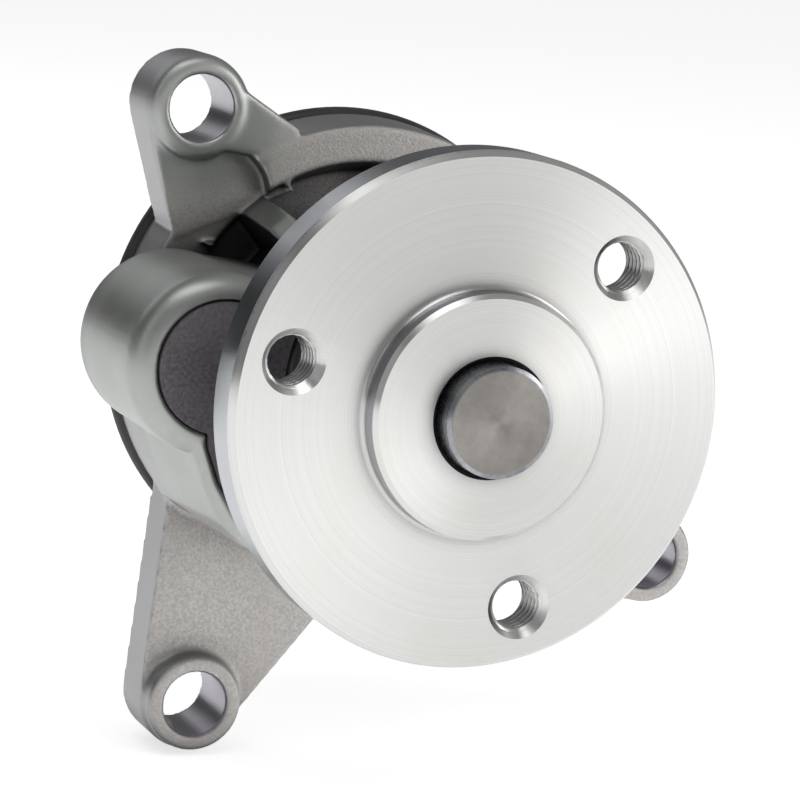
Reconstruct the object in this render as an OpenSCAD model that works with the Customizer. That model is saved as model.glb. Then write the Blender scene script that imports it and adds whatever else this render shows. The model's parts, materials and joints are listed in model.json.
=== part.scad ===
// Engine water pump with a pulley flange, a ball and roller shaft bearing,
// a weep reservoir, a face seal and a plastic impeller.
// Local frame of each module: +z runs along the shaft towards the pulley,
// and z = 0 is the mounting plane on the back of the three ears.
// place() turns that frame so that the shaft lies along -Y and up is +Z.

/* [Pulley flange] */
// Outer diameter of the pulley flange
flange_d = 74; // [70:0.5:90]
// Thickness of the flange disc
flange_t = 7.64; // [6:0.2:9]
// Height of the pulley face above the mounting plane
flange_face = 60.3; // [59.5:0.1:64]
// Bevel on the rim of the flange, along the shaft
flange_bevel = 1.3; // [0.5:0.1:2]
// Diameter of the pilot that centres the pulley
pilot_d = 35; // [30:0.5:42]
// Height of the pilot
pilot_h = 3.95; // [2:0.05:4.5]
// Pitch circle of the pulley screws
pulley_pcd = 58.2; // [56:0.2:62]
// Core diameter of the pulley screw threads
pulley_core_d = 6.9; // [5:0.1:8.6]
// Number of pulley screws
pulley_screws = 3; // [3:1:4]
// Angle of the first pulley screw
pulley_angle = 45.65; // [0:0.05:120]

/* [Shaft and bearing] */
// Shaft diameter
shaft_d = 15.918; // [15:0.001:16.5]
// How far the shaft stands out of the pilot
shaft_stand = 3.5; // [2:0.1:6]
// Outer diameter of the bearing
bearing_d = 30; // [29.5:0.1:34]
// Length of the bearing
bearing_len = 38.1; // [36:0.1:40]
// Diameter of a bearing ball
ball_d = 5.5; // [5:0.1:5.6]
// Number of balls
ball_count = 9; // [6:1:9]
// Diameter of a bearing roller
roller_d = 4.5; // [4.2:0.1:4.6]
// Length of a bearing roller
roller_len = 9; // [6:0.5:10]
// Number of rollers
roller_count = 11; // [8:1:11]

/* [Housing] */
// Diameter of the spigot and of the plate above it
spigot_d = 71.6; // [68:0.2:76]
// Depth of the spigot below the mounting plane
spigot_h = 5.34; // [5:0.02:7]
// Thickness of the ear webs
web_t = 9; // [8:0.5:10]
// Height of the ring band around the plate
band_h = 12; // [11:0.5:13.5]
// Outer diameter of the bearing barrel
barrel_d = 42.6; // [40:0.2:46]
// Height of the bearing barrel
barrel_h = 48; // [46:0.1:48.4]
// Bore of the mounting ears
ear_bore = 10; // [6:0.1:11]
// Outer diameter of the ear bosses
ear_boss_d = 14.8; // [14:0.1:17]
// Height of the two lower ear bosses
ear_boss_h = 12.9; // [11:0.1:15]
// Height of the upper ear boss
ear_top_h = 12; // [11:0.1:14]
// Place of the upper ear
ear_top = [-27.62, 37.01];
// Place of the lower left ear
ear_left = [-23.77, -53.98];
// Place of the lower right ear
ear_right = [50.66, -32.25];

/* [Weep reservoir] */
// Place of the drum axis
drum_at = [-31.3, 2.7];
// Diameter of the drum
drum_d = 26.8; // [26:0.2:28.4]
// Height of the drum and its cover
drum_h = 40; // [36:0.5:42]
// Rounding of the drum front edge
drum_round = 3.9; // [3:0.1:4.5]
// Thickness of the reservoir cover
cover_t = 1.6; // [1:0.1:2.4]

/* [Seal and impeller] */
// Section diameter of the body O-ring
ring_wire = 3.2; // [2.6:0.1:3.4]
// Outer diameter of the face seal cup
seal_cup_d = 28; // [27.6:0.1:29]
// Length of the seal cup
seal_cup_len = 6.3; // [6:0.1:6.4]
// Outer diameter of the impeller
impeller_d = 58; // [50:0.5:60]
// Height of the impeller behind the spigot
impeller_h = 13.5; // [11:0.5:18]
// Number of vanes
vane_count = 7; // [5:1:8]
// Thickness of a vane
vane_t = 1.8; // [1.4:0.1:2.4]

/* [Hidden] */
$fn = 96;
over = 1; // how far a cutter reaches past what it cuts
lap = 0.15; // step that keeps two merged surfaces out of one plane
snug = 0.03; // running gap around balls and rollers
slack = 0.15; // gap of a cage pocket
face_gap = 0.05; // gap between the two seal faces

shaft_r = shaft_d / 2;
flange_r = flange_d / 2;
flange_back = flange_face - flange_t;
pilot_top = flange_face + pilot_h;
shaft_top = pilot_top + shaft_stand;
hub_back = flange_back - 3.2;
hub_back_r = 13;
pilot_r = pilot_d / 2;
pilot_chamfer = 0.64;
pilot_fillet = 0.8;
core_r = pulley_core_d / 2;
mouth_chamfer = 1.24;

bearing_r = bearing_d / 2;
bearing_top = barrel_h;
bearing_bottom = bearing_top - bearing_len;
ring_inner_r = bearing_r - 2.48;
ball_r = ball_d / 2;
roller_r = roller_d / 2;
pitch_r = (shaft_r + ring_inner_r) / 2;
ball_pitch_r = pitch_r + 0.18;
ball_z = bearing_bottom + 8.6;
roller_z = bearing_top - 10;
seal_inset = 0.3;
seal_t = 1.8;
lip_gap = 0.1;

spigot_r = spigot_d / 2;
plate_top_r = spigot_r - 0.5;
band_in_r = 29.4;
pocket_in_r = 20;
pocket_floor = 5.5;
barrel_r = barrel_d / 2;
ear_r = ear_boss_d / 2;
web_edge_r = ear_r + 0.4;
ear_top_r = ear_r + 0.4;
plate_t = web_t - lap;
drum_r = drum_d / 2;
drum_back = web_t - 0.4;
drum_flat_r = drum_r - drum_round;
cover_r = drum_flat_r + 0.1;
cover_step = 0.5;
housing_top = drum_h - cover_step;
cover_gap = 0.05;
reservoir_r = cover_r - 1.1;
reservoir_floor = web_t + 2.5;
passage_d = 2.6;
neck_r = 12;
neck_at = [-9, 0.3];

undercut_w = 1.6;
undercut_h = 0.5;
undercut_in = 0.1;
cavity_r = 31;
cavity_top = 2;
boss_r = 19;
boss_face = -0.2;
cup_r = seal_cup_d / 2;
cup_wall = 0.8;
cup_top = boss_face + seal_cup_len;
chamber_r = cup_r - 1;
slinger_r = chamber_r - 1;
wire_r = ring_wire / 2;
groove_w = ring_wire + 0.4;
groove_z = -(0.9 + groove_w / 2);
groove_r = spigot_r - ring_wire + 0.75;

carbon_in = 9.4;
carbon_out = 12.4;
carbon_top = -0.9;
seal_face = -3.2;
washer_t = 0.6;
spring_wire_r = 0.5;
spring_mean_r = 11.6;
spring_turns = 3.5;
bellows_t = 0.8;
seat_bottom = -6.2;
boot_bottom = -7.4;
boot_r = cup_r + 0.6;
impeller_r = impeller_d / 2;
impeller_bottom = boot_bottom - impeller_h;
impeller_disc_t = 2.2;
impeller_hub_top = -4.4;
impeller_hub_r = boot_r + 2.4;
bush_r = 10.5;
vane_sweep = 48;
shaft_bottom = impeller_bottom - 0.5;

// Points of an arc about [cx, cy], from angle a to angle b
function arc(cx, cy, r, a, b, n = 8) =
    [for (i = [0 : n]) [cx + r * cos(a + (b - a) * i / n), cy + r * sin(a + (b - a) * i / n)]];

// Angle at which an outer tangent leaves circle p for circle q, on side 1 or -1
function tangent_angle(p, rp, q, rq, side) =
    atan2(q.y - p.y, q.x - p.x) + side * acos((rp - rq) / norm(q - p));

function on_circle(c, r, angle) = c + r * [cos(angle), sin(angle)];

// A point on a helix with closed ends, t from 0 to 1
function coil(t) =
    let (rise = min(1, max(0, (t - 0.16) / 0.68)))
    let (low = carbon_top + washer_t + spring_wire_r + face_gap)
    let (high = cup_top - cup_wall - bellows_t - spring_wire_r - face_gap)
    [spring_turns * 360 * t, low + (high - low) * rise];

module place() rotate([90, 0, 0]) children();

module tube(ro, ri, z0, z1) {
    translate([0, 0, z0])
        difference() {
            cylinder(r = ro, h = z1 - z0);
            translate([0, 0, -over]) cylinder(r = ri, h = z1 - z0 + 2 * over);
        }
}

module post(at, r, z0, z1) translate([at.x, at.y, z0]) cylinder(r = r, h = z1 - z0);

// A flat web round an ear, between the outer tangents to two hub circles
module web(at, r, left_hub, left_r, right_hub, right_r, h = web_t) {
    left = tangent_angle(at, r, left_hub, left_r, 1);
    right = tangent_angle(at, r, right_hub, right_r, -1);
    linear_extrude(h)
        polygon(concat(
            arc(at.x, at.y, r, left, right + 360, 28),
            [on_circle(right_hub, right_r, right), on_circle(left_hub, left_r, left)]
        ));
}

// An ear boss with a rounded rim
module ear_boss(at, r, h, rim) {
    translate([at.x, at.y, 0])
        rotate_extrude()
            polygon(concat([[0, over], [r, over]], arc(r - rim, h - rim, rim, 0, 90, 8), [[0, h]]));
}

// The fillet at the foot of a boss, on the web only: children are the web at full height
module boss_foot(at, r, foot) {
    intersection() {
        translate([at.x, at.y, 0])
            rotate_extrude()
                polygon(concat(
                    [[0, web_t - over], [r + foot, web_t - over]],
                    arc(r + foot, web_t + foot - lap, foot, 270, 180, 6),
                    [[0, web_t + foot]]
                ));
        children();
    }
}

module left_web(h) web(ear_left, web_edge_r, [-16, -21.5], 12.5, [-2, -24], 10, h);
module right_web(h) web(ear_right, web_edge_r, [22, -14], 14, [22, -14], 14, h);
module top_web(h) web(ear_top, ear_top_r + lap, [-20.3, 19.6], 10.2, [-20, 20], 10.5, h);

module ears() {
    left_web(web_t);
    right_web(web_t);
    top_web(web_t);
    boss_foot(ear_left, ear_r, 1.9) left_web(ear_boss_h);
    boss_foot(ear_right, ear_r, 1.9) right_web(ear_boss_h);
    boss_foot(ear_top, ear_top_r, 1.1) top_web(ear_top_h);
    ear_boss(ear_left, ear_r, ear_boss_h, 0.8);
    ear_boss(ear_right, ear_r, ear_boss_h, 0.8);
    ear_boss(ear_top, ear_top_r, ear_top_h, 1.9);
    linear_extrude(band_h - 2 * lap)
        polygon([ear_top + [7.1, 2.6], [-12, 34.2], [-13, 25], [-18.5, 30], ear_top + [2, -6]]);
}

// The ring band that stands on the upper side of the plate, with a dip beside the upper ear
module band() {
    difference() {
        rotate([0, 0, -40])
            rotate_extrude(angle = 187)
                polygon(concat(
                    [[band_in_r - 4, plate_t - over], [plate_top_r, plate_t - over]],
                    arc(plate_top_r - 0.8, band_h - 0.8, 0.8, 0, 90, 4),
                    [[band_in_r - 4, band_h]]
                ));
        post([-23.4, 24], 7.2, 0, band_h + over);
        linear_extrude(band_h + over)
            polygon([[-24.5, 17], [-18, 28.7], [-21, 30.8], [-29, 34], [-38, 30], [-38, 14]]);
    }
}

// The plate with its spigot and its ring band, and the pocket inside the band
module plate() {
    difference() {
        union() {
            rotate_extrude()
                polygon([
                    [0, -spigot_h], [spigot_r - 0.5, -spigot_h], [spigot_r, -spigot_h + 0.5],
                    [spigot_r, 0],
                    [plate_top_r + lap, plate_t], [0, plate_t]
                ]);
            band();
        }
        rotate([0, 0, -70])
            rotate_extrude(angle = 219)
                polygon(concat(
                    [[pocket_in_r, band_h + over], [pocket_in_r, pocket_floor]],
                    [[band_in_r - 1.7, pocket_floor]],
                    arc(band_in_r + 1.2, band_h - 1.15, 1.2, 180, 90, 5),
                    [[band_in_r + 1.2, band_h + over]]
                ));
    }
}

module barrel() {
    rotate_extrude()
        polygon(concat(
            [[0, 0], [barrel_r + 0.2, 0]],
            arc(barrel_r - 1.9, barrel_h - 1.9, 1.9, 0, 90, 6),
            [[0, barrel_h]]
        ));
}

// The drum of the weep reservoir, rounded at both ends
module drum() {
    translate([drum_at.x, drum_at.y, 0])
        rotate_extrude()
            polygon(concat(
                [[0, drum_back]],
                arc(drum_r - 4, drum_back + 4, 4, 270, 360, 6),
                arc(drum_r - drum_round, housing_top - drum_round, drum_round, 0, 90, 8),
                [[0, housing_top]]
            ));
}

module rim(at, r, z) translate([at.x, at.y, z]) cylinder(r = r, h = 0.5, $fn = 32);

// The neck that joins the drum to the barrel
module neck() {
    hull() {
        rim(drum_at, drum_r - 0.2, web_t + 4);
        rim(drum_at, drum_r - 0.2, housing_top - drum_round);
        rim(drum_at, drum_r - 1.2, housing_top - 1.6);
        rim(drum_at, drum_flat_r, housing_top - 0.5 - lap);
        rim(neck_at, neck_r, web_t - 2);
        rim(neck_at, neck_r, housing_top - drum_round);
        rim(neck_at, neck_r - 1.2, housing_top - 1.6);
        rim(neck_at, neck_r - drum_round, housing_top - 0.5 - lap);
    }
}

module slab(z, points) translate([0, 0, z]) linear_extrude(0.5) polygon(points);

// The wall that runs down from the drum to the lower left ear
module skirt() {
    hull() {
        slab(web_t - 2, [
            [-36, 0], [-35.2, -10.2], [-32.9, -16.1], [-29.4, -22.2], [-26, -24.4], [-20, -27],
            [-6, -28], [-5, 0]
        ]);
        slab(housing_top - 2.6, [
            [-35.6, 0], [-35, -8.6], [-32.6, -15], [-30, -20.2], [-26, -24], [-20, -26], [-6, -24], [-5, 0]
        ]);
        slab(housing_top - 0.5 - 2 * lap, [
            [-34.4, 0], [-34, -8.6], [-32, -14.4], [-29, -19.6], [-25, -23], [-20, -24.6], [-6, -22], [-5, 0]
        ]);
    }
}

// The rib from the ring band up to the barrel
module gusset() {
    rotate([0, 0, 129])
        rotate([90, 0, 0])
            translate([0, 0, -2.1])
                linear_extrude(4.2)
                    polygon([
                        [barrel_r - 2, pocket_floor - 1], [band_in_r - 0.4, pocket_floor - 1],
                        [band_in_r - 0.5, band_h - lap],
                        [27.4, 19.4], [25.8, 22.4], [barrel_r - 2, 25.5]
                    ]);
}

// Low ribs that stiffen the plate under the pulley flange
module plate_ribs() {
    for (a = [-30, 30, 80])
        rotate([0, 0, a])
            translate([barrel_r - 2, -1.8, pocket_floor - 1])
                cube([band_in_r - barrel_r + 3, 3.6, band_h - pocket_floor - 0.4]);
}

// The cover plate between the barrel and the rolled edge, from z0 to z1
module cover_plate(grow, z0, z1) {
    difference() {
        union() {
            post(drum_at, cover_r + grow, z0, z1);
            translate([0, 0, z0])
                linear_extrude(z1 - z0)
                    polygon([
                        drum_at + [2, cover_r - 0.3 + grow], [-18, cover_r + drum_at.y - 2 + grow], [-12, 0],
                        [-15, -15], [-19 + grow, -23], [-24, -21.6 - grow], [-27.6 - grow, -18.6],
                        [-30.9 - grow, -14], [-32.9 - grow, -8.8], [-33.3, -5.5]
                    ]);
        }
        post([0, 0], barrel_r + 0.9 - grow, z0 - over, z1 + over);
    }
}

module housing() {
    color("#a3a59c")
        difference() {
            union() {
                plate();
                ears();
                barrel();
                drum();
                neck();
                skirt();
                gusset();
                plate_ribs();
            }
            // pump cavity around the seal boss
            tube(cavity_r, boss_r, -spigot_h - over, cavity_top);
            post([0, 0], boss_r + over, -spigot_h - over, boss_face);
            // seal bore, weep chamber and bearing bore
            post([0, 0], cup_r, boss_face - over, cup_top);
            post([0, 0], chamber_r, cup_top - over, bearing_bottom + over);
            post([0, 0], bearing_r, bearing_bottom, barrel_h + over);
            // groove of the body O-ring
            tube(spigot_r + over, groove_r, groove_z - groove_w / 2, groove_z + groove_w / 2);
            // undercut at the root of the spigot, which clears the O-ring
            tube(spigot_r + undercut_w, spigot_r - undercut_in, -over, undercut_h);
            // reservoir, its cover seat and the weep passage
            post(drum_at, reservoir_r, reservoir_floor, drum_h + over);
            cover_plate(cover_gap, drum_h - cover_t, drum_h + over);
            rotate([0, 0, atan2(drum_at.y, drum_at.x)])
                translate([chamber_r - 1, 0, cup_top + 1.1])
                    rotate([0, 72, 0]) cylinder(d = passage_d, h = norm(drum_at) - chamber_r - 3);
            // ear bores with a small chamfer at the front
            for (e = [[ear_top, ear_top_h], [ear_left, ear_boss_h], [ear_right, ear_boss_h]]) {
                post(e[0], ear_bore / 2, -over, e[1] + over);
                translate([e[0].x, e[0].y, e[1] - 0.4])
                    cylinder(r1 = ear_bore / 2, r2 = ear_bore / 2 + 0.6, h = 0.6);
            }
        }
}

module reservoir_cover() {
    color("#6f6a72") cover_plate(0, drum_h - cover_t, drum_h);
}

module body_o_ring() {
    color("#161616")
        translate([0, 0, groove_z]) rotate_extrude() translate([groove_r + wire_r, 0]) circle(r = wire_r);
}

module bearing_outer_ring() {
    color("#8f9296")
        difference() {
            tube(bearing_r, ring_inner_r, bearing_bottom, bearing_top);
            translate([0, 0, ball_z])
                rotate_extrude() translate([ball_pitch_r, 0]) circle(r = ball_r + snug);
        }
}

module bearing_balls() {
    color("#c8cacc")
        for (i = [0 : ball_count - 1])
            rotate([0, 0, i * 360 / ball_count]) translate([ball_pitch_r, 0, ball_z]) sphere(r = ball_r);
}

module ball_cage() {
    color("#2c2a26")
        difference() {
            tube(pitch_r + 1.2, pitch_r - 1.2, ball_z - ball_r - 1.2, ball_z + ball_r + 1.2);
            for (i = [0 : ball_count - 1])
                rotate([0, 0, i * 360 / ball_count])
                    translate([ball_pitch_r - 4, 0, ball_z])
                        rotate([0, 90, 0]) cylinder(r = ball_r + slack, h = 8);
        }
}

module bearing_rollers() {
    color("#c8cacc")
        for (i = [0 : roller_count - 1])
            rotate([0, 0, i * 360 / roller_count])
                translate([pitch_r, 0, roller_z - roller_len / 2]) cylinder(r = roller_r, h = roller_len);
}

module roller_cage() {
    color("#2c2a26")
        difference() {
            tube(
                pitch_r + 1.1, pitch_r - 1.1,
                roller_z - roller_len / 2 - 1.6, roller_z + roller_len / 2 + 1.6
            );
            for (i = [0 : roller_count - 1])
                rotate([0, 0, i * 360 / roller_count])
                    translate([pitch_r, 0, roller_z - roller_len / 2 - slack])
                        cylinder(r = roller_r + slack, h = roller_len + 2 * slack);
        }
}

module bearing_seal(z) {
    translate([0, 0, z])
        rotate_extrude()
            polygon([
                [shaft_r + lip_gap, 0], [shaft_r + lip_gap + 0.5, 0], [shaft_r + lip_gap + 0.9, 0.5],
                [ring_inner_r - 0.1, 0.5], [ring_inner_r, 0], [ring_inner_r, seal_t],
                [shaft_r + lip_gap + 0.9, seal_t], [shaft_r + lip_gap, seal_t - 0.6]
            ]);
}

module front_bearing_seal() {
    color("#1d1d1f") bearing_seal(bearing_top - seal_inset - seal_t);
}

module rear_bearing_seal() {
    color("#1d1d1f")
        translate([0, 0, 2 * bearing_bottom + seal_inset + seal_t])
            mirror([0, 0, 1]) bearing_seal(bearing_bottom);
}

module shaft() {
    color("#8d8a85")
        difference() {
            rotate_extrude()
                polygon([
                    [0, shaft_bottom], [shaft_r - 0.6, shaft_bottom], [shaft_r, shaft_bottom + 0.6],
                    [shaft_r, shaft_top - 0.35], [shaft_r - 0.76, shaft_top], [0, shaft_top]
                ]);
            translate([0, 0, ball_z])
                rotate_extrude() translate([ball_pitch_r, 0]) circle(r = ball_r + snug);
        }
}

module slinger() {
    color("#9a9da0")
        translate([0, 0, cup_top + 0.9])
            rotate_extrude()
                polygon([
                    [shaft_r, 0], [slinger_r, 0], [slinger_r, 0.8], [shaft_r + 1.4, 0.8],
                    [shaft_r + 1.4, 1.8], [shaft_r, 1.8]
                ]);
}

module pulley_flange() {
    color("#c3c5c6")
        difference() {
            rotate_extrude()
                polygon(concat(
                    [
                        [shaft_r, hub_back], [hub_back_r - 0.5, hub_back], [hub_back_r, hub_back + 0.5],
                        [hub_back_r, flange_back], [flange_r - 0.4, flange_back],
                        [flange_r, flange_back + 0.4],
                        [flange_r, flange_face - flange_bevel], [flange_r - 0.85, flange_face]
                    ],
                    arc(pilot_r + pilot_fillet, flange_face + pilot_fillet, pilot_fillet, 270, 180, 5),
                    [
                        [pilot_r, pilot_top - pilot_chamfer], [pilot_r - pilot_chamfer, pilot_top],
                        [shaft_r + 0.8, pilot_top], [shaft_r, pilot_top - 1.2]
                    ]
                ));
            for (i = [0 : pulley_screws - 1])
                rotate([0, 0, pulley_angle + i * 360 / pulley_screws])
                    translate([pulley_pcd / 2, 0, 0]) {
                        post([0, 0], core_r, flange_back - over, flange_face + over);
                        translate([0, 0, flange_face - mouth_chamfer])
                            cylinder(
                                r1 = core_r, r2 = core_r + mouth_chamfer + over,
                                h = mouth_chamfer + over
                            );
                        translate([0, 0, flange_back - over])
                            cylinder(r1 = core_r + 0.6 + over, r2 = core_r, h = 0.6 + over);
                    }
        }
}

module seal_cup() {
    color("#b9bcbe")
        rotate_extrude()
            polygon([
                [cup_r - cup_wall, boss_face - 0.8], [cup_r + 3, boss_face - 0.8], [cup_r + 3, boss_face],
                [cup_r, boss_face], [cup_r, cup_top], [shaft_r + 1.6, cup_top],
                [shaft_r + 1.6, cup_top - cup_wall], [cup_r - cup_wall, cup_top - cup_wall]
            ]);
}

module seal_bellows() {
    color("#1b1b1b")
        rotate_extrude()
            polygon([
                [carbon_in, carbon_top], [carbon_in + bellows_t, carbon_top],
                [carbon_in + bellows_t, carbon_top + 1.6], [carbon_in + bellows_t + 0.5, carbon_top + 2.6],
                [carbon_in + bellows_t, carbon_top + 3.6],
                [carbon_in + bellows_t, cup_top - cup_wall - bellows_t],
                [cup_r - cup_wall, cup_top - cup_wall - bellows_t], [cup_r - cup_wall, cup_top - cup_wall],
                [carbon_in, cup_top - cup_wall], [carbon_in, carbon_top + 3.6],
                [carbon_in + 0.5, carbon_top + 2.6], [carbon_in, carbon_top + 1.6]
            ]);
}

// The coil spring of the face seal, a round wire swept along coil()
module seal_spring() {
    steps = 84;
    sides = 8;
    points = [
        for (i = [0 : steps])
            let (c = coil(i / steps))
            for (k = [0 : sides - 1])
                let (r = spring_mean_r + spring_wire_r * cos(k * 360 / sides))
                [r * cos(c[0]), r * sin(c[0]), c[1] + spring_wire_r * sin(k * 360 / sides)]
    ];
    walls = [
        for (i = [0 : steps - 1])
            for (k = [0 : sides - 1])
                let (n = (k + 1) % sides)
                [i * sides + k, i * sides + n, (i + 1) * sides + n, (i + 1) * sides + k]
    ];
    ends = [[for (k = [0 : sides - 1]) sides - 1 - k], [for (k = [0 : sides - 1]) steps * sides + k]];
    color("#a7a9ab") polyhedron(points = points, faces = concat(walls, ends), convexity = 10);
}

module spring_washer() {
    color("#b0b2b4")
        tube(cup_r - cup_wall - 0.35, carbon_in + bellows_t + 0.1, carbon_top, carbon_top + washer_t);
}

module carbon_face() {
    color("#232325")
        rotate_extrude()
            polygon([
                [carbon_in, seal_face + 0.8], [carbon_in + 0.8, seal_face], [carbon_out - 0.5, seal_face],
                [carbon_out, seal_face + 0.9], [carbon_out, carbon_top], [carbon_in, carbon_top]
            ]);
}

module seal_seat() {
    color("#e6e3da")
        tube(cup_r - cup_wall, carbon_in + 0.2, seat_bottom, seal_face - face_gap);
}

module seal_seat_boot() {
    color("#1b1b1b")
        rotate_extrude()
            polygon([
                [carbon_in + 0.2, boot_bottom], [boot_r, boot_bottom], [boot_r, seal_face - 0.7],
                [cup_r - cup_wall, seal_face - 0.7], [cup_r - cup_wall, seat_bottom],
                [carbon_in + 0.2, seat_bottom]
            ]);
}

module impeller_bush() {
    color("#8b8e90") tube(bush_r, shaft_r, impeller_bottom, boot_bottom - 0.2);
}

// The middle line of a vane, t from 0 at the hub to 1 at the rim
function vane_mid(t) =
    let (r = bush_r + 1 + (impeller_r - bush_r - 1.8) * t)
    r * [cos(vane_sweep * t), sin(vane_sweep * t)];

// One side of a vane, half its thickness from the middle line
function vane_side(t, side) =
    let (d = vane_mid(t + 0.01) - vane_mid(t - 0.01))
    vane_mid(t) + side * vane_t / 2 / norm(d) * [-d.y, d.x];

module vane() {
    steps = 8;
    translate([0, 0, impeller_bottom])
        linear_extrude(boot_bottom - 1.2 - impeller_bottom)
            polygon(concat(
                [for (i = [0 : steps]) vane_side(i / steps, 1)],
                [for (i = [0 : steps]) vane_side(1 - i / steps, -1)]
            ));
}

module impeller() {
    disc_top = boot_bottom - 0.2;
    color("#26282b")
        difference() {
            union() {
                rotate_extrude()
                    polygon([
                        [bush_r, impeller_bottom], [bush_r + 2.6, impeller_bottom],
                        [impeller_hub_r, disc_top - 1],
                        [impeller_r, disc_top - impeller_disc_t], [impeller_r, disc_top],
                        [impeller_hub_r, disc_top], [impeller_hub_r, impeller_hub_top],
                        [bush_r, impeller_hub_top]
                    ]);
                for (i = [0 : vane_count - 1]) rotate([0, 0, i * 360 / vane_count]) vane();
            }
            post([0, 0], boot_r, boot_bottom, impeller_hub_top + over);
        }
}

place() {
    housing();
    reservoir_cover();
    body_o_ring();
    bearing_outer_ring();
    bearing_balls();
    ball_cage();
    bearing_rollers();
    roller_cage();
    front_bearing_seal();
    rear_bearing_seal();
    shaft();
    slinger();
    pulley_flange();
    seal_cup();
    seal_spring();
    seal_bellows();
    spring_washer();
    carbon_face();
    seal_seat();
    seal_seat_boot();
    impeller_bush();
    impeller();
}
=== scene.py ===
import json
import math

import bmesh
import bpy
import numpy as np
from mathutils import Matrix, Vector

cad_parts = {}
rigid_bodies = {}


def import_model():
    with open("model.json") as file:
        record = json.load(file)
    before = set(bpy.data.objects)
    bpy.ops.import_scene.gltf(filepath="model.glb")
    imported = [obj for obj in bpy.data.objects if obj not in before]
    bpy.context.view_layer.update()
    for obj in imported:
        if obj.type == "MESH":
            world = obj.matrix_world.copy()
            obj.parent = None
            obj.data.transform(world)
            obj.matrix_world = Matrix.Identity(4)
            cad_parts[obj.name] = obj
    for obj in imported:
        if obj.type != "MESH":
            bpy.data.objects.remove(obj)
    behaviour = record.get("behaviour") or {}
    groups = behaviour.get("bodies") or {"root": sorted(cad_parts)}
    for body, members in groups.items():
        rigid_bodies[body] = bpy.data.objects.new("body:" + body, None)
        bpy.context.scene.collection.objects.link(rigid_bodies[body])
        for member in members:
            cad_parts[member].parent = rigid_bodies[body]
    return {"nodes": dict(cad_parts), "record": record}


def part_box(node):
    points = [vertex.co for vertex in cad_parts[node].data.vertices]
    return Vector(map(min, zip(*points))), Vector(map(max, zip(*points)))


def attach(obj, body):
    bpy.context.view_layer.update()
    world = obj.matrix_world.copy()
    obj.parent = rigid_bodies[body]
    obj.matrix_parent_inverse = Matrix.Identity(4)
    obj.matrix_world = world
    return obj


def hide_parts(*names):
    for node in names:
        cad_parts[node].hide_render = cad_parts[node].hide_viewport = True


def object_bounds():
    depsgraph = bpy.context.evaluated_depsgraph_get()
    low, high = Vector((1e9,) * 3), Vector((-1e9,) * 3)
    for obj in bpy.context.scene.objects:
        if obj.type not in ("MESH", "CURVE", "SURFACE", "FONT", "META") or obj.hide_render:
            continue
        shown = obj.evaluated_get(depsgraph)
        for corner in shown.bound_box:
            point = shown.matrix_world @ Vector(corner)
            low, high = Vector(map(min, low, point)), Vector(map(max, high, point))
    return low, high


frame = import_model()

MM = 0.001
NODES = frame["nodes"]
RECORD = frame["record"]
MOUNTS = {m["name"]: m for m in RECORD["mounts"]}
CAD_LOW, CAD_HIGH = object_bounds()
EAR_MOUNTS = ("upper_ear_bore", "lower_left_ear_bore", "lower_right_ear_bore")
EARS = [MOUNTS[name]["pos_m"] for name in EAR_MOUNTS]
BAND_TOP = 13.0 * MM    # the drum and the upper boss stand above the plate's ring band


# ---------------------------------------------------------------- camera, floor and light

CAMERA_AT = Vector((-0.188886, -0.507003, 0.083646))
CAMERA_RIGHT = Vector((0.93203, -0.35646, 0.06521))
CAMERA_UP = Vector((0.0, 0.17997, 0.98367))
CAMERA_LENS = 158.02
SENSOR = 36.0
WORLD_DARK, WORLD_BRIGHT = 0.06, 0.40
BRIGHT_TOWARDS = (0.62, -0.52, 0.58)
FLOOR_HALF = 8.0
FLOOR_GAP = 0.3 * MM
PAPER_GLOW = 0.68
COOL = (0.97, 0.98, 1.0)


def make_camera():
    data = bpy.data.cameras.new("camera")
    data.lens, data.sensor_width = CAMERA_LENS, SENSOR
    data.clip_start, data.clip_end = 0.01, 50.0
    camera = bpy.data.objects.new("camera", data)
    bpy.context.scene.collection.objects.link(camera)
    back = CAMERA_RIGHT.cross(CAMERA_UP).normalized()
    turn = Matrix((CAMERA_RIGHT, CAMERA_UP, back)).transposed()
    camera.matrix_world = Matrix.Translation(CAMERA_AT) @ turn.to_4x4()
    bpy.context.scene.camera = camera


def area_light(name, at, aim, size, power, tint=(1.0, 1.0, 1.0)):
    data = bpy.data.lights.new(name, "AREA")
    data.shape, data.size, data.size_y = "RECTANGLE", size[0], size[1]
    data.energy, data.color = power, tint
    light = bpy.data.objects.new(name, data)
    bpy.context.scene.collection.objects.link(light)
    light.location = at
    light.rotation_mode = "QUATERNION"
    light.rotation_quaternion = (Vector(aim) - Vector(at)).to_track_quat("-Z", "Y")
    light.visible_camera = False


def make_lights():
    middle = (0.0, -0.03, 0.0)
    area_light("key_right", (1.05, -0.85, 0.30), middle, (0.6, 0.9), 5.8)
    area_light("top_soft", (-0.25, -0.35, 1.1), middle, (0.9, 0.5), 2.9)
    area_light("left_strip", (-1.1, -0.35, 0.45), middle, (0.12, 0.8), 0.6, (0.96, 0.98, 1.0))
    area_light("back_top", (-0.35, 0.90, 0.60), middle, (0.9, 0.5), 1.0, COOL)


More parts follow.
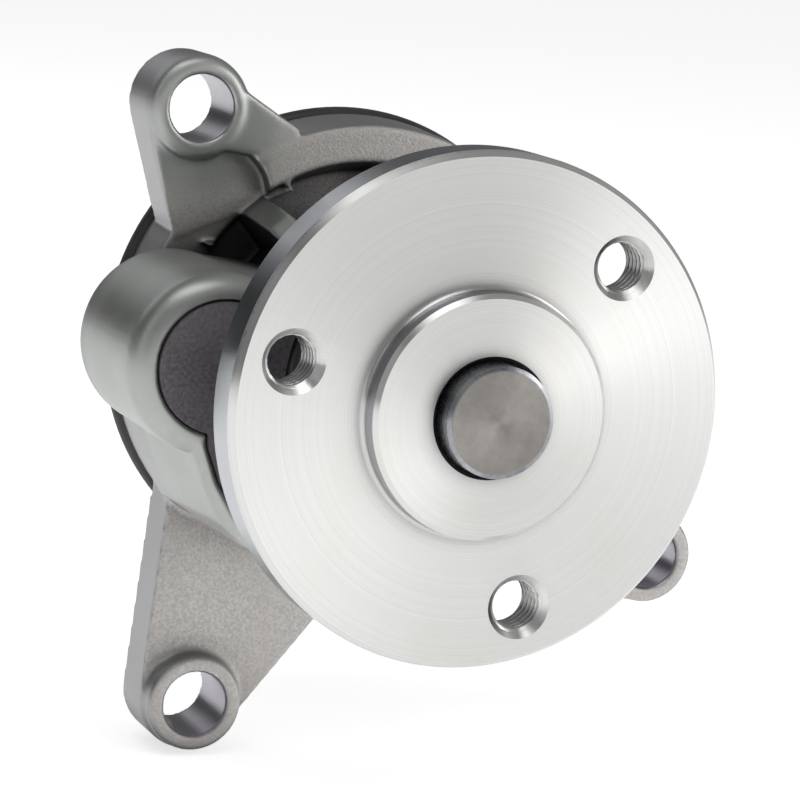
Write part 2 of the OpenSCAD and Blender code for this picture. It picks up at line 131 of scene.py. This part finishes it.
def make_world():
    """A studio that is brighter in front and on the right than behind on the left."""
    world = bpy.data.worlds.new("studio")
    bpy.context.scene.world = world
    world.use_nodes = True
    tree = world.node_tree
    tree.nodes.clear()
    out = tree.nodes.new("ShaderNodeOutputWorld")
    back = tree.nodes.new("ShaderNodeBackground")
    where = tree.nodes.new("ShaderNodeTexCoord")
    dot = tree.nodes.new("ShaderNodeVectorMath")
    dot.operation = "DOT_PRODUCT"
    dot.inputs[1].default_value = BRIGHT_TOWARDS
    spread = tree.nodes.new("ShaderNodeMapRange")
    spread.interpolation_type = "SMOOTHSTEP"
    spread.inputs["From Min"].default_value = -0.6
    spread.inputs["From Max"].default_value = 0.7
    spread.inputs["To Min"].default_value = WORLD_DARK
    spread.inputs["To Max"].default_value = WORLD_BRIGHT
    tree.links.new(where.outputs["Generated"], dot.inputs[0])
    tree.links.new(dot.outputs["Value"], spread.inputs["Value"])
    tree.links.new(spread.outputs["Result"], back.inputs["Strength"])
    tree.links.new(back.outputs["Background"], out.inputs["Surface"])


def make_floor():
    z = CAD_LOW.z - FLOOR_GAP
    corners = [(x * FLOOR_HALF, y * FLOOR_HALF, z) for x, y in ((-1, -1), (1, -1), (1, 1), (-1, 1))]
    mesh = bpy.data.meshes.new("floor")
    mesh.from_pydata(corners, [], [(0, 1, 2, 3)])
    floor = bpy.data.objects.new("floor", mesh)
    bpy.context.scene.collection.objects.link(floor)
    paper = bpy.data.materials.new("paper")
    paper.use_nodes = True
    shader = paper.node_tree.nodes["Principled BSDF"]
    shader.inputs["Base Color"].default_value = (0.93, 0.93, 0.93, 1.0)
    shader.inputs["Roughness"].default_value = 1.0
    shader.inputs["Specular IOR Level"].default_value = 0.0
    shader.inputs["Emission Color"].default_value = (1.0, 1.0, 1.0, 1.0)
    shader.inputs["Emission Strength"].default_value = PAPER_GLOW
    mesh.materials.append(paper)


# ---------------------------------------------------------------- material kit

class Paint:
    """A Principled material whose nodes are added by short calls, which take sockets or numbers."""

    def __init__(self, name, metallic=0.0, **fixed):
        self.material = bpy.data.materials.new(name)
        self.material.use_nodes = True
        self.tree = self.material.node_tree
        self.shader = self.tree.nodes["Principled BSDF"]
        self.shader.inputs["Metallic"].default_value = metallic
        for key, value in fixed.items():
            self.shader.inputs[key.replace("_", " ").title()].default_value = value
        self.where = self.tree.nodes.new("ShaderNodeTexCoord").outputs["Object"]
        split = self.add("ShaderNodeSeparateXYZ", {"Vector": self.where})
        self.x, self.y, self.z = split.outputs

    def add(self, kind, inputs, **properties):
        node = self.tree.nodes.new(kind)
        for key, value in properties.items():
            setattr(node, key, value)
        for key, value in inputs.items():
            socket = node.inputs[key]
            if isinstance(value, bpy.types.NodeSocket):
                self.tree.links.new(value, socket)
            else:
                socket.default_value = value
        return node

    def math(self, operation, a, b=0.0):
        return self.add("ShaderNodeMath", {0: a, 1: b}, operation=operation).outputs[0]

    def length(self, a, b):
        squares = self.math("ADD", self.math("MULTIPLY", a, a), self.math("MULTIPLY", b, b))
        return self.math("SQRT", squares)

    def radius(self, x=0.0, z=0.0):
        """Distance from the line along Y through (x, z)."""
        return self.length(self.math("SUBTRACT", self.x, x), self.math("SUBTRACT", self.z, z))

    def span(self, value, low, high, out_low=0.0, out_high=1.0):
        inputs = {"Value": value, "From Min": low, "From Max": high,
                  "To Min": out_low, "To Max": out_high}
        node = self.add("ShaderNodeMapRange", inputs, interpolation_type="SMOOTHSTEP")
        return node.outputs["Result"]

    def noise(self, scale, detail=3.0, stretch=None):
        where = self.where
        if stretch:
            where = self.add("ShaderNodeMapping", {"Vector": where, "Scale": stretch}).outputs[0]
        inputs = {"Vector": where, "Scale": scale, "Detail": detail, "Roughness": 0.6}
        return self.add("ShaderNodeTexNoise", inputs).outputs[0]

    def lines(self, along, per_metre, detail=5.0):
        """Irregular parallel lines, as a tool leaves, across the value given."""
        across = self.math("MULTIPLY", along, per_metre)
        inputs = {"W": across, "Scale": 1.0, "Detail": detail, "Roughness": 0.7}
        return self.add("ShaderNodeTexNoise", inputs, noise_dimensions="1D").outputs[0]

    def cells(self, scale):
        node = self.add("ShaderNodeTexVoronoi", {"Vector": self.where, "Scale": scale})
        return node.outputs["Distance"]

    def mix(self, share, a, b):
        node = self.add("ShaderNodeMix", {}, data_type="RGBA")
        sockets = [s for s in node.inputs if s.type == "RGBA"]
        self.feed(node.inputs[0], share)
        self.feed(sockets[0], a)
        self.feed(sockets[1], b)
        return next(s for s in node.outputs if s.type == "RGBA")

    def feed(self, socket, value):
        if isinstance(value, bpy.types.NodeSocket):
            self.tree.links.new(value, socket)
        elif isinstance(value, tuple):
            socket.default_value = (*value, 1.0)
        else:
            socket.default_value = value

    def facing(self):
        """1 where the surface faces along the shaft, 0 where it stands on end."""
        normal = self.tree.nodes.new("ShaderNodeTexCoord").outputs["Normal"]
        across = self.add("ShaderNodeSeparateXYZ", {"Vector": normal}).outputs[1]
        return self.math("ABSOLUTE", across)

    def edges(self):
        """1 on the raised edges of a fine mesh, where a painted highlight is laid."""
        point = self.tree.nodes.new("ShaderNodeNewGeometry").outputs["Pointiness"]
        return self.span(point, 0.53, 0.62)

    def openness(self, reach):
        """0 deep in a hollow, where painted shade is laid, and 1 on open surfaces."""
        node = self.add("ShaderNodeAmbientOcclusion", {"Distance": reach}, samples=6)
        return node.outputs["AO"]

    def bump(self, height, strength, depth, under=None):
        inputs = {"Height": height, "Strength": strength, "Distance": depth}
        if under is not None:
            inputs["Normal"] = under
        return self.add("ShaderNodeBump", inputs).outputs[0]

    def finish(self, color, roughness, normal=None):
        self.feed(self.shader.inputs["Base Color"], color)
        self.feed(self.shader.inputs["Roughness"], roughness)
        if normal is not None:
            self.feed(self.shader.inputs["Normal"], normal)
        return self.material


def turning(paint):
    """Highlights spread across the tool lines, so that a turned face shows fans of light."""
    tangent = paint.add("ShaderNodeTangent", {}, direction_type="RADIAL", axis="Y")
    paint.tree.links.new(tangent.outputs[0], paint.shader.inputs["Tangent"])
    paint.shader.inputs["Anisotropic Rotation"].default_value = 0.25


# ---------------------------------------------------------------- materials

def turned_steel():
    paint = Paint("turned_steel", metallic=1.0, anisotropic=0.80)
    turning(paint)
    along = paint.math("SUBTRACT", paint.radius(), paint.y)
    fine = paint.lines(along, 2600.0)
    broad = paint.lines(along, 420.0, 2.0)
    cloud = paint.noise(60.0, 4.0)
    speck = paint.noise(900.0, 2.0)
    color = paint.mix(paint.span(fine, 0.3, 0.7), (0.665, 0.665, 0.65), (0.72, 0.72, 0.705))
    color = paint.mix(paint.span(broad, 0.35, 0.7, 0.0, 0.12), color, (0.60, 0.60, 0.585))
    stain = paint.math("MULTIPLY", paint.span(cloud, 0.5, 0.75), 0.18)
    color = paint.mix(stain, color, (0.62, 0.58, 0.50))
    # painted shade: ambient occlusion darkens the steel nearly to black in its hollows and creases,
    # where shade falls
    painted_shade = paint.span(paint.openness(3.5 * MM), 0.35, 0.9, 0.85, 0.0)
    color = paint.mix(painted_shade, color, (0.06, 0.055, 0.06))
    # painted reflection: the side walls are darkened to blue-grey, standing in for their dark
    # reflections; their lower roughness below is the real polished finish
    wall = paint.span(paint.facing(), 0.25, 0.6, 1.0, 0.0)
    color = paint.mix(wall, color, (0.45, 0.465, 0.49))
    rough = paint.math("ADD", paint.span(fine, 0.2, 0.8, 0.25, 0.31),
                       paint.math("MULTIPLY", speck, 0.05))
    rough = paint.math("SUBTRACT", rough, paint.math("MULTIPLY", wall, 0.10))
    normal = paint.bump(fine, 0.12, 0.010 * MM)
    normal = paint.bump(broad, 0.08, 0.010 * MM, normal)
    return paint.finish(color, rough, normal)


def shaft_steel():
    paint = Paint("shaft_steel", metallic=1.0, anisotropic=0.5)
    turning(paint)
    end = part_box("shaft")[0].y
    face = paint.span(paint.y, end + 0.05 * MM, end + 0.12 * MM, 1.0, 0.0)
    grain = paint.noise(1500.0, 3.0)
    cloud = paint.noise(130.0, 4.0)
    streak = paint.noise(160.0, 4.0, (1.0, 0.08, 1.0))
    matte = paint.mix(paint.span(cloud, 0.3, 0.7), (0.27, 0.255, 0.24), (0.36, 0.345, 0.325))
    ground = paint.mix(paint.span(streak, 0.3, 0.7), (0.17, 0.185, 0.21), (0.42, 0.43, 0.44))
    color = paint.mix(face, ground, matte)
    rough = paint.math("ADD", paint.math("MULTIPLY", face, 0.27),
                       paint.span(grain, 0.2, 0.8, 0.24, 0.34))
    return paint.finish(color, rough, paint.bump(grain, 0.30, 0.03 * MM))


def ring_steel():
    paint = Paint("ring_steel", metallic=1.0, anisotropic=0.35)
    turning(paint)
    along = paint.math("SUBTRACT", paint.radius(), paint.y)
    fine = paint.lines(along, 2200.0)
    cloud = paint.noise(140.0, 4.0)
    color = paint.mix(paint.span(fine, 0.3, 0.7), (0.46, 0.47, 0.48), (0.62, 0.63, 0.64))
    rough = paint.math("ADD", paint.span(fine, 0.2, 0.8, 0.20, 0.34),
                       paint.math("MULTIPLY", cloud, 0.06))
    return paint.finish(color, rough, paint.bump(fine, 0.25, 0.02 * MM))


def polished_steel():
    paint = Paint("bearing_steel", metallic=1.0)
    cloud = paint.noise(260.0, 4.0)
    grain = paint.noise(2400.0, 2.0)
    color = paint.mix(paint.span(cloud, 0.3, 0.7), (0.72, 0.73, 0.74), (0.82, 0.83, 0.84))
    rough = paint.span(cloud, 0.2, 0.8, 0.08, 0.18)
    return paint.finish(color, rough, paint.bump(grain, 0.08, 0.01 * MM))


def cast_aluminium():
    """Smooth skin on the drum and the upper ear, blasted grain below, machined bores and back."""
    paint = Paint("cast_aluminium", metallic=0.9)
    height = paint.math("MULTIPLY", paint.y, -1.0)
    wander = paint.math("MULTIPLY", paint.math("SUBTRACT", paint.noise(160.0, 3.0), 0.5), 5.0 * MM)
    raised = paint.span(paint.math("ADD", height, wander), BAND_TOP, BAND_TOP + 3.0 * MM)
    near_top = paint.span(paint.radius(EARS[0][0], EARS[0][2]), 9.0 * MM, 19.0 * MM, 1.0, 0.0)
    wall = paint.span(paint.facing(), 0.45, 0.85, 1.0, 0.0)
    smooth = paint.math("MAXIMUM", paint.math("MAXIMUM", raised, near_top), wall)
    holes = [paint.radius(x, z) for x, _, z in EARS]
    nearest = paint.math("MINIMUM", paint.math("MINIMUM", holes[0], holes[1]), holes[2])
    bored = paint.span(nearest, 5.15 * MM, 5.35 * MM, 1.0, 0.0)
    back = paint.span(height, 0.1 * MM, 0.35 * MM, 1.0, 0.0)
    machined = paint.math("MAXIMUM", bored, back)
    grain = paint.noise(2600.0, 4.0)
    pits = paint.cells(1900.0)
    cloud = paint.noise(55.0, 5.0)
    skin = paint.mix(paint.span(cloud, 0.3, 0.7), (0.365, 0.38, 0.36), (0.46, 0.475, 0.45))
    blasted = paint.mix(paint.span(grain, 0.32, 0.68), (0.43, 0.415, 0.40), (0.58, 0.56, 0.54))
    blasted = paint.mix(paint.span(cloud, 0.35, 0.7, 0.0, 0.5), blasted, (0.50, 0.475, 0.465))
    low_wall = paint.math("MULTIPLY", wall, paint.math("SUBTRACT", 1.0, raised))
    skin = paint.mix(paint.math("MULTIPLY", low_wall, 0.7), skin, (0.37, 0.365, 0.385))
    color = paint.mix(smooth, blasted, skin)
    # painted highlight: a light colour on raised edges found by pointiness, stronger on the blasted
    # zones than on the smooth skin
    painted_edge_highlight = paint.math("MULTIPLY", paint.edges(), paint.span(smooth, 0.0, 1.0, 0.45, 0.06))
    color = paint.mix(painted_edge_highlight, color, (0.78, 0.78, 0.76))
    color = paint.mix(machined, color, (0.40, 0.385, 0.42))
    # painted shade: ambient occlusion darkens the casting's pockets and creases nearly to black,
    # except in the bores
    painted_shade = paint.span(paint.openness(14.0 * MM), 0.25, 0.85, 0.88, 0.0)
    painted_shade = paint.math("MULTIPLY", painted_shade, paint.math("SUBTRACT", 1.0, bored))
    color = paint.mix(painted_shade, color, (0.035, 0.034, 0.038))
    rough = paint.span(smooth, 0.0, 1.0, 0.60, 0.40)
    rough = paint.math("ADD", rough, paint.span(cloud, 0.2, 0.8, -0.04, 0.06))
    rough = paint.math("MULTIPLY", rough, paint.span(machined, 0.0, 1.0, 1.0, 0.75))
    coarse = paint.math("MULTIPLY", paint.math("SUBTRACT", 1.0, smooth),
                        paint.math("SUBTRACT", 1.0, machined))
    relief = paint.math("ADD", paint.math("MULTIPLY", coarse, 0.85), 0.15)
    depth = paint.math("MULTIPLY", grain, relief)
    normal = paint.bump(depth, 0.55, 0.12 * MM)
    normal = paint.bump(paint.math("MULTIPLY", pits, coarse), 0.25, 0.06 * MM, normal)
    normal = paint.bump(cloud, 0.25, 0.35 * MM, normal)
    return paint.finish(color, rough, normal)


def cover_plate():
    paint = Paint("cover_plate", metallic=0.75)
    grain = paint.noise(1700.0, 4.0)
    cloud = paint.noise(110.0, 4.0)
    color = paint.mix(paint.span(grain, 0.3, 0.7), (0.135, 0.125, 0.14), (0.235, 0.22, 0.24))
    color = paint.mix(paint.span(cloud, 0.4, 0.75, 0.0, 0.4), color, (0.24, 0.225, 0.235))
    rough = paint.span(cloud, 0.2, 0.8, 0.42, 0.54)
    return paint.finish(color, rough, paint.bump(grain, 0.35, 0.04 * MM))


def soft_rubber():
    paint = Paint("black_rubber", sheen_weight=0.08)
    grain = paint.noise(1400.0, 3.0)
    cloud = paint.noise(90.0, 3.0)
    color = paint.mix(paint.span(cloud, 0.3, 0.7), (0.012, 0.012, 0.013), (0.030, 0.030, 0.031))
    rough = paint.span(cloud, 0.2, 0.8, 0.38, 0.55)
    return paint.finish(color, rough, paint.bump(grain, 0.2, 0.03 * MM))


def moulded(name, low, high, rough_low, rough_high, grain_scale=900.0, relief=0.25):
    paint = Paint(name)
    grain = paint.noise(grain_scale, 4.0)
    cloud = paint.noise(70.0, 4.0)
    color = paint.mix(paint.span(cloud, 0.3, 0.7), low, high)
    rough = paint.span(grain, 0.25, 0.75, rough_low, rough_high)
    return paint.finish(color, rough, paint.bump(grain, relief, 0.04 * MM))


def pressed_sheet():
    paint = Paint("plated_steel", metallic=1.0)
    drawn = paint.noise(500.0, 3.0, (1.0, 0.15, 1.0))
    cloud = paint.noise(120.0, 3.0)
    color = paint.mix(paint.span(drawn, 0.3, 0.7), (0.56, 0.57, 0.58), (0.70, 0.71, 0.72))
    rough = paint.span(cloud, 0.2, 0.8, 0.22, 0.36)
    return paint.finish(color, rough, paint.bump(drawn, 0.15, 0.02 * MM))


def make_materials():
    return {
        "cast_aluminium": cast_aluminium(),
        "cover_plate": cover_plate(),
        "turned_steel": turned_steel(),
        "shaft_steel": shaft_steel(),
        "bearing_steel": polished_steel(),
        "ring_steel": ring_steel(),
        "plated_steel": pressed_sheet(),
        "black_rubber": soft_rubber(),
        "cage_plastic": moulded(
            "cage_plastic", (0.075, 0.062, 0.048), (0.12, 0.10, 0.08), 0.42, 0.58),
        "carbon": moulded(
            "carbon", (0.03, 0.03, 0.033), (0.06, 0.06, 0.065), 0.30, 0.46, 2200.0, 0.12),
        "ceramic": moulded(
            "ceramic", (0.78, 0.76, 0.71), (0.86, 0.85, 0.81), 0.12, 0.22, 1800.0, 0.06),
        "impeller_plastic": moulded(
            "impeller_plastic", (0.045, 0.05, 0.055), (0.085, 0.09, 0.10), 0.36, 0.56),
    }


# ---------------------------------------------------------------- meshes

def link(name, mesh):
    piece = bpy.data.objects.new(name, mesh)
    bpy.context.scene.collection.objects.link(piece)
    return piece


def evaluated_mesh(piece):
    """The piece's mesh with its modifiers applied, as a new mesh."""
    bpy.context.view_layer.update()
    graph = bpy.context.evaluated_depsgraph_get()
    return bpy.data.meshes.new_from_object(piece.evaluated_get(graph))


def shade(mesh, angle):
    mesh.shade_smooth()
    mesh.set_sharp_from_angle(angle=math.radians(angle))


def dress(piece, material, body):
    piece.data.materials.clear()
    piece.data.materials.append(material)
    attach(piece, body)


def lathe(profile, sides):
    """A closed ring about the Y axis from (radius, height) points; height runs along -Y."""
    shape = bmesh.new()
    loops = []
    for k in range(sides):
        a = 2 * math.pi * k / sides
        loops.append([shape.verts.new((r * math.cos(a), -h, r * math.sin(a))) for r, h in profile])
    for k in range(sides):
        here, there = loops[k], loops[(k + 1) % sides]
        for i in range(len(profile)):
            j = (i + 1) % len(profile)
            shape.faces.new((here[i], here[j], there[j], there[i]))
    bmesh.ops.recalc_face_normals(shape, faces=shape.faces)
    mesh = bpy.data.meshes.new("ring")
    shape.to_mesh(mesh)
    shape.free()
    return mesh


CAST_VOXEL = 0.32 * MM
CAST_SMOOTHING = 14
MACHINED, BLASTED, SKIN = 0.15, 0.45, 1.0
UPPER_EAR_REACH = 14.0 * MM
SPIGOT_REACH, SPIGOT_TOP = 38.0 * MM, 0.7 * MM
BORE_REACH = 5.7 * MM


def casting_softness(points):
    """How far edges are rolled: little where machined, more below, most on the drum and upper ear."""
    height = -points[:, 1]
    soft = np.full(len(points), BLASTED)
    from_ear = [np.hypot(points[:, 0] - x, points[:, 2] - z) for x, _, z in EARS]
    soft[(height > BAND_TOP) | (from_ear[0] < UPPER_EAR_REACH)] = SKIN
    on_spigot = np.hypot(points[:, 0], points[:, 2]) < SPIGOT_REACH
    soft[(height < SPIGOT_TOP) & on_spigot] = MACHINED
    for distance in from_ear:
        soft[distance < BORE_REACH] = MACHINED
    return soft


def make_casting(material):
    """The housing with the rolled edges and soft inner corners of a die casting."""
    rough = link("casting_source", NODES["housing"].data.copy())
    remesh = rough.modifiers.new("voxels", "REMESH")
    remesh.mode, remesh.voxel_size = "VOXEL", CAST_VOXEL
    casting = link("housing_casting", evaluated_mesh(rough))
    bpy.data.objects.remove(rough)
    points = np.empty(len(casting.data.vertices) * 3)
    casting.data.vertices.foreach_get("co", points)
    softness = casting_softness(points.reshape(-1, 3))
    group = casting.vertex_groups.new(name="softness")
    for weight in (MACHINED, BLASTED, SKIN):
        group.add(np.flatnonzero(softness == weight).tolist(), weight, "REPLACE")
    soften = casting.modifiers.new("soften", "SMOOTH")
    soften.factor, soften.iterations, soften.vertex_group = 0.5, CAST_SMOOTHING, "softness"
    mesh = evaluated_mesh(casting)
    casting.modifiers.clear()
    casting.vertex_groups.clear()
    casting.data = mesh
    shade(mesh, 50.0)
    dress(casting, material, "pump_body")
    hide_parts("housing")


def break_edges(name, width):
    """A small bevel on the edges of a CAD node, which catches the light."""
    bevel = NODES[name].modifiers.new("broken_edges", "BEVEL")
    bevel.width, bevel.segments, bevel.limit_method = width, 2, "ANGLE"
    bevel.angle_limit = math.radians(40.0)


BORE_R = 7.959 * MM
FLANGE_T = 7.64 * MM
HUB_R, HUB_LENGTH, HUB_CHAMFER = 13.0 * MM, 3.2 * MM, 0.5 * MM
PILOT_FILLET, PILOT_CHAMFER, FILLET_STEPS = 0.8 * MM, 0.64 * MM, 8
RIM_BACK_CHAMFER = 0.4 * MM
RIM_BEVEL_HEIGHT, RIM_BEVEL_WIDTH = 1.3 * MM, 0.85 * MM
BORE_MOUTH_WIDTH, BORE_MOUTH_DEPTH = 0.8 * MM, 1.2 * MM
FLANGE_SIDES, CUTTER_SIDES = 288, 72
SCREWS, FIRST_SCREW_ANGLE = 3, 45.65
THREAD_PITCH = 1.25 * MM
THREAD_MAJOR_R = 3.97 * MM
MOUTH, REAR_MOUTH, REAR_LIP = 1.24 * MM, 0.6 * MM, 0.3 * MM
CUT_OVER = 1.0 * MM
SLEEVE_WALL, SLEEVE_GAP = 0.12 * MM, 0.02 * MM
SLEEVE_SIDES, SLEEVE_LEVELS = 48, 90


def flange_profile(flange_r, face, pilot_r, pilot_top):
    """Outline of the flange as (radius, height) from the back of its hub round to the bore's mouth."""
    back, hub_back = face - FLANGE_T, face - FLANGE_T - HUB_LENGTH
    fillet = []
    for k in range(FILLET_STEPS + 1):
        a = math.radians(270 - 90 * k / FILLET_STEPS)
        fillet.append((pilot_r + PILOT_FILLET * (1 + math.cos(a)),
                       face + PILOT_FILLET * (1 + math.sin(a))))
    return [
        (BORE_R, hub_back), (HUB_R - HUB_CHAMFER, hub_back),
        (HUB_R, hub_back + HUB_CHAMFER), (HUB_R, back),
        (flange_r - RIM_BACK_CHAMFER, back), (flange_r, back + RIM_BACK_CHAMFER),
        (flange_r, face - RIM_BEVEL_HEIGHT), (flange_r - RIM_BEVEL_WIDTH, face),
        *fillet,
        (pilot_r, pilot_top - PILOT_CHAMFER), (pilot_r - PILOT_CHAMFER, pilot_top),
        (BORE_R + BORE_MOUTH_WIDTH, pilot_top), (BORE_R, pilot_top - BORE_MOUTH_DEPTH),
    ]


def screw_places():
    """Centres of the pulley screws: the first angle is the part's, the rest are evenly spaced."""
    ring = MOUNTS["pulley_bolts"]["dims"]["pcd_mm"] / 2 * MM
    for k in range(SCREWS):
        a = math.radians(FIRST_SCREW_ANGLE + 360 / SCREWS * k)
        yield ring * math.cos(a), ring * math.sin(a)


def hole_profile(face, core_r):
    """Half outline of a screw hole as (radius, height), from behind the flange to past its face."""
    low, high = face - FLANGE_T - CUT_OVER, face + CUT_OVER
    return [
        (0.0, low), (THREAD_MAJOR_R + REAR_LIP + CUT_OVER, low),
        (THREAD_MAJOR_R, face - FLANGE_T + REAR_LIP),
        (THREAD_MAJOR_R, face - MOUTH + THREAD_MAJOR_R - core_r),
        (core_r + MOUTH + CUT_OVER, high), (0.0, high),
    ]


def spun_cutter(profile, at, sides):
    """A closed body about the line along Y through at. The outline starts and ends on that line."""
    shape = bmesh.new()
    x, z = at
    ends = [shape.verts.new((x, -profile[0][1], z)), shape.verts.new((x, -profile[-1][1], z))]
    rings = []
    for r, h in profile[1:-1]:
        turn = [2 * math.pi * k / sides for k in range(sides)]
        rings.append([shape.verts.new((x + r * math.cos(a), -h, z + r * math.sin(a))) for a in turn])
    for k in range(sides):
        n = (k + 1) % sides
        shape.faces.new((ends[0], rings[0][k], rings[0][n]))
        shape.faces.new((ends[1], rings[-1][n], rings[-1][k]))
        for low, high in zip(rings, rings[1:]):
            shape.faces.new((low[k], high[k], high[n], low[n]))
    bmesh.ops.recalc_face_normals(shape, faces=shape.faces)
    mesh = bpy.data.meshes.new("cutter")
    shape.to_mesh(mesh)
    shape.free()
    return mesh


def thread_radius(angle, h, face, core_r):
    """Radius of the thread's inner surface, opened by the chamfer at the mouth and at the back."""
    phase = (h / THREAD_PITCH - angle / (2 * math.pi)) % 1.0
    ridge = min(1.0, max(0.0, 1.5 - abs(phase - 0.5) * 4.0))
    r = THREAD_MAJOR_R - (THREAD_MAJOR_R - core_r) * ridge
    mouth = core_r + MOUTH - (face - h)
    rear = core_r + REAR_MOUTH - (h - (face - FLANGE_T))
    return min(THREAD_MAJOR_R, max(r, mouth, rear))


def thread_sleeve(shape, at, face, core_r):
    """The thread of one hole, as a thin closed sleeve let into the hole's wall."""
    x, z = at
    low = face - FLANGE_T + REAR_LIP + SLEEVE_GAP
    high = face - MOUTH + THREAD_MAJOR_R - core_r - SLEEVE_GAP
    heights = [low + (high - low) * i / SLEEVE_LEVELS for i in range(SLEEVE_LEVELS + 1)]
    angles = [2 * math.pi * k / SLEEVE_SIDES for k in range(SLEEVE_SIDES)]

    def ring(h, radius_of):
        return [shape.verts.new((x + radius_of(a) * math.cos(a), -h, z + radius_of(a) * math.sin(a)))
                for a in angles]

    inner = [ring(h, lambda a, h=h: thread_radius(a, h, face, core_r)) for h in heights]
    outer = [ring(h, lambda a: THREAD_MAJOR_R + SLEEVE_WALL) for h in (low, high)]
    for k in range(SLEEVE_SIDES):
        n = (k + 1) % SLEEVE_SIDES
        for a, b in zip(inner, inner[1:]):
            shape.faces.new((a[k], b[k], b[n], a[n]))
        shape.faces.new((outer[0][k], outer[0][n], outer[1][n], outer[1][k]))
        shape.faces.new((inner[0][k], inner[0][n], outer[0][n], outer[0][k]))
        shape.faces.new((inner[-1][k], outer[1][k], outer[1][n], inner[-1][n]))


def make_flange(material):
    """The turned pulley flange with cut M8 threads in its three holes."""
    low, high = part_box("pulley_flange")
    face = -MOUNTS["pulley_face"]["pos_m"][1]
    pilot_r = MOUNTS["pulley_pilot"]["dims"]["r_mm"] * MM
    core_r = MOUNTS["pulley_bolts"]["dims"]["hole_r_mm"] * MM
    profile = flange_profile(high.x, face, pilot_r, -low.y)
    blank = link("flange_blank", lathe(profile, FLANGE_SIDES))
    for number, at in enumerate(screw_places()):
        cutter = link(f"cutter_{number}", spun_cutter(hole_profile(face, core_r), at, CUTTER_SIDES))
        cut = blank.modifiers.new(f"cut_{number}", "BOOLEAN")
        cut.operation, cut.object, cut.solver = "DIFFERENCE", cutter, "EXACT"
    flange = link("pulley_flange_turned", evaluated_mesh(blank))
    helpers = [o for o in bpy.data.objects if o.name.startswith(("cutter_", "flange_blank"))]
    for helper in helpers:
        bpy.data.objects.remove(helper)
    shape = bmesh.new()
    shape.from_mesh(flange.data)
    for at in screw_places():
        thread_sleeve(shape, at, face, core_r)
    bmesh.ops.recalc_face_normals(shape, faces=shape.faces)
    shape.to_mesh(flange.data)
    shape.free()
    shade(flange.data, 28.0)
    dress(flange, material, "rotor")
    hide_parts("pulley_flange")


def paint_nodes(materials):
    for part in RECORD["subparts"]:
        node = NODES[part["node"]]
        node.data.materials.clear()
        node.data.materials.append(materials[part["material_slot"]])


bpy.context.scene.view_settings.view_transform = "Standard"
make_camera()
make_world()
make_lights()
make_floor()
MATERIALS = make_materials()
paint_nodes(MATERIALS)
make_casting(MATERIALS["cast_aluminium"])
break_edges("reservoir_cover", 0.14 * MM)
make_flange(MATERIALS["turned_steel"])
